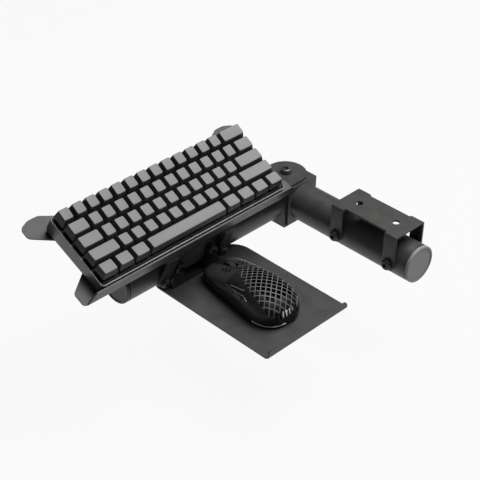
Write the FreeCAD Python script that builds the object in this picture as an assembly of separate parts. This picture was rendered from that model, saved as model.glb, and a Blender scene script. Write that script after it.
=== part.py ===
import FreeCAD, Part
import math
import os

os.makedirs("parts", exist_ok=True)
V = FreeCAD.Vector

# Everything is drawn with the pivot of the two arms at zero, the main arm along +X and the tray arm along -Y.
# The finished pieces are then moved so that zero is the middle of the rig bracket's two holes, on its top face.

# Tubes and bent sheet
tube_r = 24.0
tube_wall = 2.5
tube_bore_r = tube_r - tube_wall
sheet = 2.5
tray_sheet = 2.0
slide_gap = 0.10
tip_gap = 0.05
bracket_half = tube_r + slide_gap
bracket_outer = bracket_half + sheet
leg_width = 18.0
leg_end_r = leg_width / 2
bend_r = 3.5
cap_flange = 5.0
cap_edge_r = 1.2
cap_groove = 1.2
cap_plug = 14.0

# Rig bracket
rig_centre_x = 151.0
rig_length = 101.0
tall_gap = 14.7
tall_top = tube_r + tall_gap + sheet
rig_hole_spacing = 57.0
rig_hole_r = 4.5
side_recess = 5.0
side_recess_half = 32.5

# Hinge between the arms
fixed_inner = bracket_half
fixed_outer = fixed_inner + sheet
fixed_half = 25.4
friction_t = 0.75
axial_gap = 0.05
moving_inner = fixed_outer + friction_t + axial_gap
moving_outer = moving_inner + sheet
moving_half = 26.4
web_gap = 0.6
fixed_web_in = moving_half + web_gap
fixed_web_out = fixed_web_in + sheet
moving_web_in = fixed_half + web_gap
moving_web_out = moving_web_in + sheet
pivot_r = 4.0
pivot_run = 0.05
washer_t = 1.6
washer_r = 8.0
spacer_r = 8.0
friction_r = 20.0
pivot_head_r = 7.0
pivot_head_h = 4.4
pivot_nut_af = 13.0
pivot_nut_h = 8.0
pivot_tail = 1.5
weld_leg = 1.3

# Arm lengths
main_end_x = 215.5
tray_arm_end_y = -283.0

# Clamp bolts in the bracket legs
clamp_r = 4.0
clamp_washer_r = 8.0
clamp_head_r = 6.8
clamp_head_h = 4.2
clamp_dome_r = 2.6

# Keyboard bracket and tray, drawn level and then tipped about the tray arm
tray_tilt = 24.0
arm_bracket_y = -185.0
mouse_bracket_length = 71.0
bracket_side_gap = 2.0
kb_bracket_length = mouse_bracket_length + 2 * bracket_side_gap + 2 * leg_width
tray_y = -193.0
tray_bottom = tall_top
tray_top = tray_bottom + tray_sheet
tray_half = 168.0
tray_front = 23.5
tray_back = 102.5
lip_height = 18.5
kb_screw_x = 17.0
kb_screw_y = 25.0
m5_r = 2.5
m5_head_r = 4.5
m5_nut_af = 8.0
m5_nut_h = 4.0

# Keyboard
case_tilt = 3.9
kb_back = 31.8
kb_rise = 26.0
foot_t = 2.0
pitch = 19.05
row_units = 15.0
row_count = 5
block_half_x = row_count * pitch / 2
block_half_y = row_units * pitch / 2
case_back_margin = 1.475
case_front_margin = 4.775
case_end_margin = 3.125
case_x0 = -block_half_x - case_back_margin
case_x1 = block_half_x + case_front_margin
case_half_y = block_half_y + case_end_margin
case_corner = 5.0
case_floor = 2.5
rim_z = -4.5
plate_top = -5.5
plate_t = 1.5
plate_bottom = plate_top - plate_t
board_top = -10.5
board_t = 1.6
usb_inset = 33.0
foot_r = 6.0
post_r = 2.4
foot_inset_back = 11.1
foot_inset_front = 12.4
foot_inset_end = 21.0
screw_inset_back = 3.7
screw_inset_front = 5.8
key_gap = 0.95
key_wall = 1.3
key_roof = 1.5
stem_l = 7.0
stem_w = 5.5
stem_play = 0.10
housing_top = 1.1

# Mouse bracket, tray and mouse
mouse_tray_top = -bracket_outer
mouse_tray_bottom = mouse_tray_top - tray_sheet
mouse_tray_y0 = -231.0
mouse_tray_y1 = -96.0
mouse_tray_front = 193.0
mouse_lip = 10.5
lip_relief = 1.5
tray_bend_r = 3.0
mouse_turn = 174.5
mouse_x = 101.3
mouse_y = -165.0
skate_t = 0.8
shell_t = 2.0
lattice_cell = 6.0
lattice_bar = 1.4
mesh_cell = 4.2
mesh_bar = 1.3
slot_pitch = 5.0
slot_half = 1.6
slot_low = 11.5
slot_high = 21.0


def box(x0, x1, y0, y1, z0, z1):
    return Part.makeBox(x1 - x0, y1 - y0, z1 - z0, V(x0, y0, z0))


def rod(r, h, p, d):
    return Part.makeCylinder(r, h, V(*p), V(*d))


def rounded_wire(points):
    # Closed wire through (x, y, r) corners, each corner rounded by r.
    n = len(points)
    starts = []
    ends = []
    mids = []
    for i in range(n):
        x, y, r = points[i]
        p = V(x, y, 0)
        a = V(points[i - 1][0], points[i - 1][1], 0) - p
        b = V(points[(i + 1) % n][0], points[(i + 1) % n][1], 0) - p
        a.normalize()
        b.normalize()
        half = a.getAngle(b) / 2
        if r <= 0:
            starts.append(p)
            ends.append(p)
            mids.append(None)
            continue
        cut = r / math.tan(half)
        mid_dir = a + b
        mid_dir.normalize()
        starts.append(p + a * cut)
        ends.append(p + b * cut)
        mids.append(p + mid_dir * (r / math.sin(half) - r))
    edges = []
    for i in range(n):
        if mids[i] is not None:
            edges.append(Part.Arc(starts[i], mids[i], ends[i]).toShape())
        nxt = (i + 1) % n
        if (starts[nxt] - ends[i]).Length > 1e-6:
            edges.append(Part.LineSegment(ends[i], starts[nxt]).toShape())
    return Part.Wire(edges)


def prism(points, z0, z1):
    solid = Part.Face(rounded_wire(points)).extrude(V(0, 0, z1 - z0))
    solid.translate(V(0, 0, z0))
    return solid


def rect(x0, x1, y0, y1, r):
    return [(x0, y0, r), (x1, y0, r), (x1, y1, r), (x0, y1, r)]


def hexagon(af, h, x, y, z0):
    r = af / math.sqrt(3)
    pts = [(x + r * math.cos(math.radians(60 * i)), y + r * math.sin(math.radians(60 * i)), 0) for i in range(6)]
    return prism(pts, z0, z0 + h)


def save(name, shapes):
    solids = [s.copy() for s in shapes]
    for s in solids:
        s.translate(V(-rig_centre_x, 0, -tall_top))
    whole = solids[0] if len(solids) == 1 else Part.makeCompound(solids)
    whole.exportStep("parts/" + name + ".step")


def about_y(shape, angle):
    s = shape.copy()
    s.rotate(V(0, 0, 0), V(0, 1, 0), angle)
    return s


# Bent U bracket over a tube along X: top plate, and a leg at each end of each side
def u_bracket(length, top, centre, recess, recess_half):
    x0 = centre - length / 2
    x1 = centre + length / 2
    edge = bracket_outer
    inset = edge - recess
    pts = [(x0, -edge, 0), (centre - recess_half, -edge, 2.0), (centre - recess_half, -inset, 2.0),
           (centre + recess_half, -inset, 2.0), (centre + recess_half, -edge, 2.0), (x1, -edge, 0),
           (x1, edge, 0), (centre + recess_half, edge, 2.0), (centre + recess_half, inset, 2.0),
           (centre - recess_half, inset, 2.0), (centre - recess_half, edge, 2.0), (x0, edge, 0)]
    body = prism(pts, top - sheet, top)
    for side in (-1, 1):
        y0 = bracket_half if side > 0 else -edge
        for end in (x0, x1 - leg_width):
            leg = box(end, end + leg_width, y0, y0 + sheet, 0, top - sheet + 0.001)
            toe = rod(leg_end_r, sheet, (end + leg_width / 2, y0, 0), (0, 1, 0))
            hole = rod(clamp_r, sheet + 2, (end + leg_width / 2, y0 - 1, 0), (0, 1, 0))
            body = body.fuse(leg).fuse(toe).cut(hole)
    # Each bend is rounded outside and inside
    for side in (-1, 1):
        y_in, y_out = sorted((side * (edge - bend_r), side * (edge + 1)))
        corner = box(x0 - 1, x1 + 1, y_in, y_out, top - bend_r, top + 1)
        body = body.cut(corner.cut(rod(bend_r, length + 2, (x0 - 1, side * (edge - bend_r), top - bend_r), (1, 0, 0))))
        inner_r = bend_r - sheet
        y_in, y_out = sorted((side * (bracket_half - inner_r), side * bracket_half))
        for end in (x0, x1 - leg_width):
            web = box(end, end + leg_width, y_in, y_out, top - sheet - inner_r, top - sheet)
            axis_at = (end, side * (bracket_half - inner_r), top - sheet - inner_r)
            body = body.fuse(web.cut(rod(inner_r, leg_width, axis_at, (1, 0, 0))))
    return body.removeSplitter()


# Clamp bolt: head, washer and shank, pointing at the tube from one side
def clamp_bolts(centres):
    out = []
    for cx in centres:
        for side in (-1, 1):
            d = (0, -side, 0)
            face = side * bracket_outer
            washer = rod(clamp_washer_r, washer_t, (cx, face + side * washer_t, 0), d)
            washer = washer.cut(rod(clamp_r, washer_t, (cx, face + side * washer_t, 0), d))
            start = face + side * (washer_t + clamp_head_h)
            bolt = rod(clamp_head_r, clamp_head_h, (cx, start, 0), d)
            bolt = bolt.makeFillet(clamp_dome_r, [e for e in bolt.Edges if abs(e.CenterOfMass.y - start) < 0.01])
            socket = hexagon(5.0, 2.4, 0, 0, 0)
            socket.rotate(V(0, 0, 0), V(1, 0, 0), 90 * side)
            socket.translate(V(cx, start, 0))
            bolt = bolt.cut(socket)
            reach = abs(face) + washer_t - tube_r - tip_gap
            bolt = bolt.fuse(rod(clamp_r, reach, (cx, face + side * washer_t, 0), d))
            out += [washer, bolt.removeSplitter()]
    return out


# Rig bracket
rig = u_bracket(rig_length, tall_top, rig_centre_x, side_recess, side_recess_half)
for s in (-1, 1):
    rig = rig.cut(rod(rig_hole_r, sheet + 2, (rig_centre_x + s * rig_hole_spacing / 2, 0, tall_top - sheet - 1), (0, 0, 1)))
save("rig_bracket", [rig])
rig_bolt_x = [rig_centre_x - rig_length / 2 + leg_width / 2, rig_centre_x + rig_length / 2 - leg_width / 2]
save("rig_bracket_bolts", clamp_bolts(rig_bolt_x))


# Main arm tube, end cap and weld
def end_cap():
    flange = rod(tube_r, cap_flange, (0, 0, 0), (0, 0, 1))
    flange = flange.makeFillet(cap_edge_r, [e for e in flange.Edges if abs(e.CenterOfMass.z - cap_flange) < 0.01])
    flange = flange.cut(rod(tube_r - 3.0, 0.8, (0, 0, cap_flange - 0.8), (0, 0, 1)))
    groove = rod(tube_r + 1, cap_groove, (0, 0, 0), (0, 0, 1)).cut(rod(tube_r - cap_groove, cap_groove, (0, 0, 0), (0, 0, 1)))
    flange = flange.cut(groove)
    plug = rod(tube_bore_r, cap_plug, (0, 0, -cap_plug), (0, 0, 1))
    plug = plug.cut(rod(tube_bore_r - 2.5, cap_plug, (0, 0, -cap_plug), (0, 0, 1)))
    return flange.fuse(plug).removeSplitter()


def weld_ring():
    ring = Part.makeCone(tube_r + weld_leg, tube_r, weld_leg)
    return ring.cut(rod(tube_r, weld_leg, (0, 0, 0), (0, 0, 1)))


main_tube = rod(tube_r, main_end_x - fixed_web_out, (fixed_web_out, 0, 0), (1, 0, 0))
main_tube = main_tube.cut(rod(tube_bore_r, main_end_x - fixed_web_out, (fixed_web_out, 0, 0), (1, 0, 0)))
save("main_arm_tube", [main_tube])
cap = end_cap()
cap.rotate(V(0, 0, 0), V(0, 1, 0), 90)
cap.translate(V(main_end_x, 0, 0))
save("main_arm_cap", [cap])
bead = weld_ring()
bead.rotate(V(0, 0, 0), V(0, 1, 0), 90)
bead.translate(V(fixed_web_out, 0, 0))
save("main_arm_weld", [bead])


# Hinge forks: a web and two flanges, the flanges rounded about the pivot
def fork(web_in, web_out, half, inner, outer, hole_r):
    body = box(web_in, web_out, -half, half, -outer, outer)
    for z0 in (inner, -outer):
        body = body.fuse(box(0, web_in + 0.001, -half, half, z0, z0 + sheet))
        body = body.fuse(rod(half, sheet, (0, 0, z0), (0, 0, 1)))
        body = body.cut(rod(hole_r, sheet + 2, (0, 0, z0 - 1), (0, 0, 1)))
    return body.removeSplitter()


fixed = fork(fixed_web_in, fixed_web_out, fixed_half, fixed_inner, fixed_outer, pivot_r)
save("fixed_fork", [fixed])
moving = fork(moving_web_in, moving_web_out, moving_half, moving_inner, moving_outer, pivot_r + pivot_run)
moving.rotate(V(0, 0, 0), V(0, 0, 1), -90)
save("moving_fork", [moving])

# Pivot bolt, washers, spacer, friction washers and lock nut
head_z = moving_outer + axial_gap + washer_t
nut_z = -(moving_outer + axial_gap + washer_t)
bolt = rod(pivot_head_r, pivot_head_h, (0, 0, head_z), (0, 0, 1))
bolt = bolt.makeFillet(2.0, [e for e in bolt.Edges if abs(e.CenterOfMass.z - head_z - pivot_head_h) < 0.01])
bolt = bolt.cut(hexagon(5.0, 3.0, 0, 0, head_z + pivot_head_h - 2.4))
bolt = bolt.fuse(rod(pivot_r, head_z - nut_z + pivot_nut_h + pivot_tail, (0, 0, nut_z - pivot_nut_h - pivot_tail), (0, 0, 1)))
save("pivot_bolt", [bolt.removeSplitter()])
washers = []
for z0 in (head_z - washer_t, nut_z):
    w = rod(washer_r, washer_t, (0, 0, z0), (0, 0, 1)).cut(rod(pivot_r, washer_t, (0, 0, z0), (0, 0, 1)))
    washers.append(w)
save("pivot_washers", washers)
spacer = rod(spacer_r, 2 * fixed_inner, (0, 0, -fixed_inner), (0, 0, 1))
spacer = spacer.cut(rod(pivot_r + 0.1, 2 * fixed_inner, (0, 0, -fixed_inner), (0, 0, 1)))
save("pivot_spacer", [spacer])
pads = []
for z0 in (fixed_outer, -fixed_outer - friction_t):
    pad = rod(friction_r, friction_t, (0, 0, z0), (0, 0, 1)).cut(rod(pivot_r + 0.1, friction_t, (0, 0, z0), (0, 0, 1)))
    pads.append(pad)
save("friction_washers", pads)
nut = hexagon(pivot_nut_af, pivot_nut_h, 0, 0, nut_z - pivot_nut_h)
nut = nut.cut(rod(pivot_r, pivot_nut_h, (0, 0, nut_z - pivot_nut_h), (0, 0, 1)))
save("pivot_nut", [nut])

# Tray arm tube, end cap and weld
tray_tube_len = -moving_web_out - tray_arm_end_y
tray_tube = rod(tube_r, tray_tube_len, (0, -moving_web_out, 0), (0, -1, 0))
tray_tube = tray_tube.cut(rod(tube_bore_r, tray_tube_len, (0, -moving_web_out, 0), (0, -1, 0)))
save("tray_arm_tube", [tray_tube])
cap = end_cap()
cap.rotate(V(0, 0, 0), V(1, 0, 0), 90)
cap.translate(V(0, tray_arm_end_y, 0))
save("tray_arm_cap", [cap])
bead = weld_ring()
bead.rotate(V(0, 0, 0), V(1, 0, 0), 90)
bead.translate(V(0, -moving_web_out, 0))
save("tray_arm_weld", [bead])


# Keyboard bracket: the same section as the rig bracket, along the tray arm, tipped with the tray
def along_tray_arm(shape):
    s = shape.copy()
    s.rotate(V(0, 0, 0), V(0, 0, 1), 90)
    s.translate(V(0, arm_bracket_y, 0))
    return s


kb_bracket = u_bracket(kb_bracket_length, tall_top, 0, side_recess, kb_bracket_length / 2 - leg_width)
kb_screws_at = [(x, y) for x in (-kb_screw_x, kb_screw_x) for y in (arm_bracket_y - kb_screw_y, arm_bracket_y + kb_screw_y)]
kb_bracket = along_tray_arm(kb_bracket)
for x, y in kb_screws_at:
    kb_bracket = kb_bracket.cut(rod(m5_r, sheet + 2, (x, y, tall_top - sheet - 1), (0, 0, 1)))
save("keyboard_bracket", [about_y(kb_bracket, tray_tilt)])
kb_bolt_at = [-(kb_bracket_length - leg_width) / 2, (kb_bracket_length - leg_width) / 2]
save("keyboard_bracket_bolts", [about_y(along_tray_arm(s), tray_tilt) for s in clamp_bolts(kb_bolt_at)])

# Keyboard tray: sheet with four ears and a front lip, waisted under the keyboard
half_outline = [(tray_front, -tray_half + 5, 0), (tray_front - 4, -tray_half, 3), (3.0, -tray_half, 7), (-17.0, -tray_half + 29, 12),
                (-34.0, -118, 8), (-48.0, -118, 8), (-66.0, -tray_half + 25, 12), (-82.0, -tray_half, 7),
                (-97.0, -tray_half, 8), (-tray_back, -154, 12), (-tray_back, -140, 12), (-93.0, -122, 8),
                (-66.0, -78, 12)]
outline_pts = half_outline + [(x, -y, r) for x, y, r in reversed(half_outline)]
tray = prism(outline_pts, tray_bottom, tray_top)
lip_pts = [(tray_bottom, -tray_half + 5, 1.0), (tray_bottom + 7, -tray_half + 5, 3.0),
           (tray_bottom + lip_height, -tray_half + 12, 5.0), (tray_bottom + lip_height, tray_half - 12, 5.0),
           (tray_bottom + 7, tray_half - 5, 3.0), (tray_bottom, tray_half - 5, 1.0)]
lip = prism([(-z, y, r) for z, y, r in lip_pts], 0, tray_sheet)
lip.rotate(V(0, 0, 0), V(0, 1, 0), 90)
lip.translate(V(tray_front - tray_sheet, 0, 0))
tray = tray.fuse(lip)
bend = box(tray_front - 3, tray_front + 1, -200, 200, tray_bottom - 1, tray_bottom + 3)
bend = bend.cut(rod(3.0, 400, (tray_front - 3, -200, tray_bottom + 3), (0, 1, 0)))
bend = bend.common(box(tray_front - 3, tray_front + 1, -200, 200, tray_bottom - 1, tray_bottom + 3))
tray = tray.cut(bend)
tray.translate(V(0, tray_y, 0))
for x, y in kb_screws_at:
    tray = tray.cut(Part.makeCone(m5_r, m5_head_r, tray_sheet, V(x, y, tray_bottom)))
save("keyboard_tray", [about_y(tray.removeSplitter(), tray_tilt)])
screws = []
nuts = []
for x, y in kb_screws_at:
    s = Part.makeCone(m5_r, m5_head_r, tray_sheet, V(x, y, tray_bottom))
    s = s.cut(hexagon(3.0, 1.4, x, y, tray_top - 1.2))
    s = s.fuse(rod(m5_r, sheet + m5_nut_h + 0.8, (x, y, tray_bottom - sheet - m5_nut_h - 0.8), (0, 0, 1)))
    screws.append(about_y(s, tray_tilt))
    n = hexagon(m5_nut_af, m5_nut_h, x, y, tray_bottom - sheet - m5_nut_h)
    n = n.cut(rod(m5_r, m5_nut_h, (x, y, tray_bottom - sheet - m5_nut_h), (0, 0, 1)))
    nuts.append(about_y(n, tray_tilt))
save("keyboard_tray_screws", screws)
save("keyboard_tray_nuts", nuts)

# Mouse bracket: low U from below, web under the tube and four short legs
mb_x0 = -mouse_bracket_length / 2
mb_x1 = mouse_bracket_length / 2
mouse_bracket = box(mb_x0, mb_x1, -bracket_outer, bracket_outer, -bracket_outer, -bracket_half)
for side in (-1, 1):
    y0 = bracket_half if side > 0 else -bracket_outer
    for end in (mb_x0, mb_x1 - leg_width):
        mouse_bracket = mouse_bracket.fuse(box(end, end + leg_width, y0, y0 + sheet, -bracket_half - 0.001, 0))
        mouse_bracket = mouse_bracket.fuse(rod(leg_end_r, sheet, (end + leg_width / 2, y0, 0), (0, 1, 0)))
        mouse_bracket = mouse_bracket.cut(rod(clamp_r, sheet + 2, (end + leg_width / 2, y0 - 1, 0), (0, 1, 0)))
mouse_bracket = along_tray_arm(mouse_bracket)
mouse_screw_x = 17.0
mouse_screw_y = 22.0
mouse_screws_at = [(x, arm_bracket_y + y) for x in (-mouse_screw_x, mouse_screw_x) for y in (-mouse_screw_y, mouse_screw_y)]
for x, y in mouse_screws_at:
    mouse_bracket = mouse_bracket.cut(rod(m5_r, sheet + 2, (x, y, -bracket_outer - 1), (0, 0, 1)))
save("mouse_bracket", [mouse_bracket.removeSplitter()])
mouse_bolt_at = [-(mouse_bracket_length - leg_width) / 2, (mouse_bracket_length - leg_width) / 2]
save("mouse_bracket_bolts", [along_tray_arm(s) for s in clamp_bolts(mouse_bolt_at)])

# Mouse tray: plate with rounded back corners, a tongue under the bracket and a front lip
m_pts = [(mouse_tray_front, mouse_tray_y0, 0), (mouse_tray_front, mouse_tray_y1, 0), (0.0, mouse_tray_y1, 30.0),
         (0.0, arm_bracket_y + 30, 3.0), (-24.0, arm_bracket_y + 30, 6.0), (-24.0, arm_bracket_y - 30, 6.0),
         (0.0, arm_bracket_y - 30, 3.0), (0.0, mouse_tray_y0, 12.0)]
m_tray = prism(m_pts, mouse_tray_bottom, mouse_tray_top)
lip_y0 = mouse_tray_y0 + lip_relief
lip_y1 = mouse_tray_y1 - lip_relief
m_lip = prism([(-mouse_tray_bottom, lip_y0, 0), (-mouse_tray_bottom, lip_y1, 0),
               (-mouse_tray_bottom - mouse_lip, lip_y1, 5.0), (-mouse_tray_bottom - mouse_lip, lip_y0, 5.0)],
              0, tray_sheet)
m_lip.rotate(V(0, 0, 0), V(0, 1, 0), 90)
m_lip.translate(V(mouse_tray_front - tray_sheet, 0, 0))
m_tray = m_tray.fuse(m_lip)
bend_x = mouse_tray_front - tray_bend_r
bend_z = mouse_tray_bottom + tray_bend_r
bend = box(bend_x, mouse_tray_front + 1, lip_y0, lip_y1, mouse_tray_bottom - 1, bend_z)
m_tray = m_tray.cut(bend.cut(rod(tray_bend_r, lip_y1 - lip_y0, (bend_x, lip_y0, bend_z), (0, 1, 0))))
for y0, y1 in ((mouse_tray_y0 - 1, lip_y0), (lip_y1, mouse_tray_y1 + 1)):
    m_tray = m_tray.cut(box(bend_x, mouse_tray_front + 1, y0, y1, mouse_tray_bottom - 1, mouse_tray_top + 1))
for x, y in mouse_screws_at:
    m_tray = m_tray.cut(rod(m5_r, tray_sheet + 2, (x, y, mouse_tray_bottom - 1), (0, 0, 1)))
save("mouse_tray", [m_tray.removeSplitter()])
m_screws = []
for x, y in mouse_screws_at:
    s = rod(m5_head_r, 2.6, (x, y, mouse_tray_bottom - 2.6), (0, 0, 1)).cut(hexagon(3.0, 1.6, x, y, mouse_tray_bottom - 2.6))
    s = s.fuse(rod(m5_r, tray_sheet + sheet + 1.0, (x, y, mouse_tray_bottom), (0, 0, 1)))
    m_screws.append(s.removeSplitter())
save("mouse_tray_screws", m_screws)


# Keyboard frame: x toward the user, y to the right, z out of the keys, zero at the middle of the key skirts
def to_tray(shape):
    s = shape.copy()
    s.rotate(V(0, 0, 0), V(0, 1, 0), case_tilt)
    s.translate(V(-kb_back, tray_y, tray_top + kb_rise))
    return s


def place_key(shape):
    return about_y(to_tray(shape), tray_tilt)


rows = [[1] * 13 + [2], [1.5] + [1] * 12 + [1.5], [1.75] + [1] * 11 + [2.25], [2.25] + [1] * 10 + [2.75],
        [1.25] * 3 + [6.25] + [1.25] * 4]
keys = []
for r, widths in enumerate(rows):
    y = -block_half_y
    for k, w in enumerate(widths):
        keys.append((r, k, w, (r - 2) * pitch, y + w * pitch / 2))
        y += w * pitch


def stab_offset(w):
    return 50.0 if w > 6 else 11.94


stab_keys = [key for key in keys if key[2] >= 2]

# Case: inclined top, level bottom on four feet, pocket for the plate, five screw posts
ledge_x0, ledge_x1, ledge_y = case_x0 + 3.1, case_x1 - 4.8, case_half_y - 3.5
pocket_x0, pocket_x1, pocket_y = case_x0 + 1.6, case_x1 - 3.4, case_half_y - 1.8
case_bottom = tray_top + foot_t
level_floor = case_bottom + case_floor
big = 400
below_case = box(-big, big, -big - 200, big, -big, case_bottom)
below_floor = box(-big, big, -big - 200, big, -big, level_floor)
outer = to_tray(prism(rect(case_x0, case_x1, -case_half_y, case_half_y, case_corner), -60, rim_z)).cut(below_case)
trim = to_tray(prism(rect(case_x0 - 5, case_x1 + 5, -case_half_y - 5, case_half_y + 5, 6), -60, 20))
core = to_tray(prism(rect(case_x0 + 1.5, case_x1 - 1.5, -case_half_y + 1.5, case_half_y - 1.5, 4), -60, 20))
shoe = trim.cut(core).common(box(-big, big, -big - 200, big, case_bottom - 1, case_bottom + 3.0))
cavity = to_tray(prism(rect(ledge_x0, ledge_x1, -ledge_y, ledge_y, 2), -60, 20)).cut(below_floor)
pocket = to_tray(prism(rect(pocket_x0, pocket_x1, -pocket_y, pocket_y, 3), plate_bottom, 20))
case = outer.cut(shoe).cut(cavity).cut(pocket)
case_screws_at = [(case_x0 + screw_inset_back, -block_half_y + pitch * k) for k in (2, 7, 12)]
case_screws_at += [(case_x1 - screw_inset_front, s * 5 * pitch) for s in (-1, 1)]
for x, y in case_screws_at:
    post = to_tray(rod(post_r, 40, (x, y, plate_bottom - 40), (0, 0, 1))).cut(below_case).common(outer)
    case = case.fuse(post)
    case = case.cut(to_tray(rod(1.0, 7, (x, y, plate_bottom - 7), (0, 0, 1))))
usb_y = -case_half_y + usb_inset
usb = box(case_x0 + 0.3, case_x0 + 8.3, usb_y - 4.5, usb_y + 4.5, board_top - board_t - 3.2, board_top - board_t)
usb_hole = box(case_x0 - 1, case_x0 + 6, usb_y - 4.7, usb_y + 4.7, board_top - board_t - 3.4, board_top - board_t + 0.2)
case = case.cut(to_tray(usb_hole))
save("keyboard_case", [about_y(case.removeSplitter(), tray_tilt)])
usb = usb.cut(box(case_x0 + 0.2, case_x0 + 6.3, usb_y - 4.0, usb_y + 4.0, board_top - board_t - 2.7, board_top - board_t - 0.5))
save("usb_socket", [place_key(usb)])
feet = []
for x in (case_x0 + foot_inset_back, case_x1 - foot_inset_front):
    for y in (-case_half_y + foot_inset_end, case_half_y - foot_inset_end):
        p = (-kb_back + x, tray_y + y, tray_top)
        feet.append(about_y(rod(foot_r, foot_t, p, (0, 0, 1)), tray_tilt))
save("keyboard_feet", feet)


# Plate, circuit board, switches and stabilisers
def square(cx, cy, hx, hy):
    return Part.makePolygon([V(cx - hx, cy - hy, 0), V(cx + hx, cy - hy, 0), V(cx + hx, cy + hy, 0), V(cx - hx, cy + hy, 0),
                             V(cx - hx, cy - hy, 0)])


def ring(r, x, y):
    return Part.Wire([Part.makeCircle(r, V(x, y, 0))])


plate_holes = [square(x, y, 7.0, 7.0) for r, k, w, x, y in keys]
stab_at = []
for r, k, w, x, y in stab_keys:
    flip = -1 if r == 4 else 1
    for s in (-1, 1):
        stab_at.append((x, y + s * stab_offset(w), flip))
        plate_holes.append(square(x + flip * 1.6, y + s * stab_offset(w), 8.2, 3.4))
plate_holes += [ring(1.1, x, y) for x, y in case_screws_at]
plate_face = Part.Face([rounded_wire(rect(pocket_x0 + 0.2, pocket_x1 - 0.2, -pocket_y + 0.2, pocket_y - 0.2, 3))] + plate_holes)
plate = plate_face.extrude(V(0, 0, plate_t))
plate.translate(V(0, 0, plate_bottom))
save("keyboard_plate", [place_key(plate)])
board_low = board_top - board_t
board = prism(rect(ledge_x0 + 0.4, ledge_x1 - 0.4, -ledge_y + 0.4, ledge_y - 0.4, 2), board_low, board_top)
board_holes = [rod(2.05, board_t + 2, (x, y, board_low - 1), (0, 0, 1)) for r, k, w, x, y in keys]
board_holes += [rod(post_r + 0.4, board_t + 2, (x, y, board_low - 1), (0, 0, 1)) for x, y in case_screws_at]
board = board.cut(board_holes)
save("keyboard_circuit_board", [place_key(board)])
plate_screws = []
for x, y in case_screws_at:
    s = rod(1.6, 1.2, (x, y, plate_top), (0, 0, 1)).fuse(rod(1.0, 7.5, (x, y, plate_top - 7.5), (0, 0, 1)))
    plate_screws.append(place_key(s.cut(rod(0.7, 0.8, (x, y, plate_top + 0.5), (0, 0, 1)))))
save("keyboard_screws", plate_screws)

housing = box(-6.95, 6.95, -6.95, 6.95, board_top, plate_top)
housing = housing.fuse(box(-7.8, 7.8, -7.8, 7.8, plate_top, plate_top + 1.0))
low_wire = square(0, 0, 7.0, 7.0)
low_wire.translate(V(0, 0, plate_top + 1.0))
top_wire = square(0, 0, 4.8, 5.2)
top_wire.translate(V(0, 0, housing_top))
housing = housing.fuse(Part.makeLoft([low_wire, top_wire], True, True))
housing = housing.cut(box(-stem_w / 2 - stem_play, stem_w / 2 + stem_play, -stem_l / 2 - stem_play, stem_l / 2 + stem_play,
                          board_top + 1.5, housing_top + 1))
housing = housing.fuse(rod(2.0, 2.9, (0, 0, board_top - 2.9), (0, 0, 1))).removeSplitter()
switch_solids = []
for r, k, w, x, y in keys:
    s = housing.copy()
    s.translate(V(x, y, 0))
    switch_solids.append(place_key(s))
save("key_switches", switch_solids)

stab_solids = []
for x, y, flip in stab_at:
    s = box(-6.4, 6.6, -3.3, 3.3, plate_bottom - 2.4, plate_top + 3.4)
    s = s.fuse(box(6.6, 9.6, -3.3, 3.3, plate_bottom - 2.4, plate_top + 1.4)).removeSplitter()
    s = s.cut(box(-2.3, 2.3, -1.8, 1.8, plate_bottom - 1.6, plate_top + 5))
    s = s.cut(rod(0.8, 8, (8.4, -4, plate_bottom - 1.2), (0, 1, 0)))
    if flip < 0:
        s.rotate(V(0, 0, 0), V(0, 0, 1), 180)
    s.translate(V(x, y, 0))
    stab_solids.append(place_key(s))
for r, k, w, x, y in stab_keys:
    flip = -1 if r == 4 else 1
    reach = stab_offset(w) + 2.5
    stab_solids.append(place_key(rod(0.8, 2 * reach, (x + flip * 8.4, y - reach, plate_bottom - 1.2), (0, 1, 0))))
save("stabilisers", stab_solids)

# Keycaps: hollow, narrowing to a tilted top with a shallow dish, each with its switch slider in the socket
row_height = {0: 10.5, 1: 8.6, 2: 7.6, 3: 7.9, 4: 7.9}
row_lean = {0: 6.0, 1: 4.0, 2: 1.0, 3: -3.0, 4: -4.0}
row_shift = {0: -0.9, 1: -0.9, 2: -0.9, 3: -0.7, 4: -0.5}


def frustum(x0, x1, half, r0, z0, cx, top_x, top_half, r1, z1, lean):
    low = rounded_wire(rect(x0, x1, -half, half, r0)) if r0 else square((x0 + x1) / 2, 0, (x1 - x0) / 2, half)
    low.translate(V(0, 0, z0))
    high = rounded_wire(rect(-top_x, top_x, -top_half, top_half, r1)) if r1 else square(0, 0, top_x, top_half)
    high.rotate(V(0, 0, 0), V(0, 1, 0), lean)
    high.translate(V(cx, 0, z1))
    return Part.makeLoft([low, high], True, True)


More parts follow.
